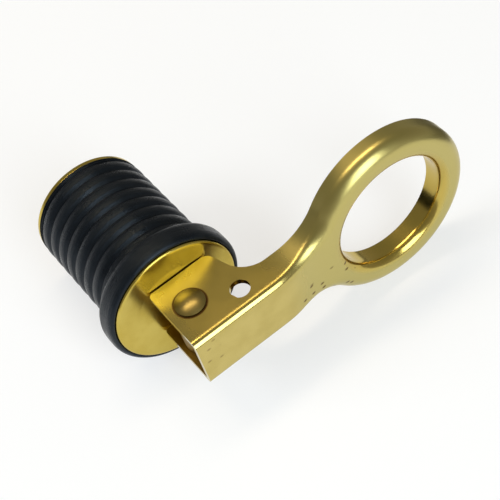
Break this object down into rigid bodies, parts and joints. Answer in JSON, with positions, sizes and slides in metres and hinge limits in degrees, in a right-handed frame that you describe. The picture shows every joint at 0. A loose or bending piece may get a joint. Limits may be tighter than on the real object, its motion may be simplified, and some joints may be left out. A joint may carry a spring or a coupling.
{
  "type": "snap handle drain plug",
  "caption": "Boat drain plug: a ribbed rubber stopper squeezed between brass washers by a stem and a folding brass ring lever.",
  "frame": {"origin": "on the plug's axis, in the plane of the flange's back face that seats against the hull", "axes": "+X along the plug's axis, outboard; +Y along the closed lever, from the pivot to the ring; +Z along the pivot, up"},
  "size_m": [0.0562, 0.0774, 0.0374],
  "materials": {
    "rubber": "satin moulded rubber",
    "washer_brass": "polished",
    "stem_brass": "turned and dull",
    "lever_brass": "polished, with small pits",
    "rivet_brass": "satin"
  },
  "bodies": {
    "stopper": {"rubber_stopper": "rubber", "front_washer": "washer_brass"},
    "stem": {"stem": "stem_brass"},
    "tail": {"end_washer": "washer_brass", "adjusting_nut": "stem_brass"},
    "lever": {"lever": "lever_brass", "pivot_rivet": "rivet_brass"}
  },
  "joints": [
    {"name": "stem_turn", "type": "hinge", "parent": "stopper", "child": "stem", "pos_m": [0, 0, 0], "axis": [1, 0, 0], "range_deg": [0, 720]},
    {"name": "tail_travel", "type": "slide", "parent": "stopper", "child": "tail", "axis": [-1, 0, 0], "range_m": [0, 0.0026]},
    {"name": "lever_flip", "type": "hinge", "parent": "stem", "child": "lever", "pos_m": [0.01332, 0, 0], "axis": [0, 0, -1], "range_deg": [0, 90]}
  ],
  "couplings": [
    {"joint": "tail_travel", "follows": "stem_turn", "m_per_rad": 0.00020213}
  ]
}
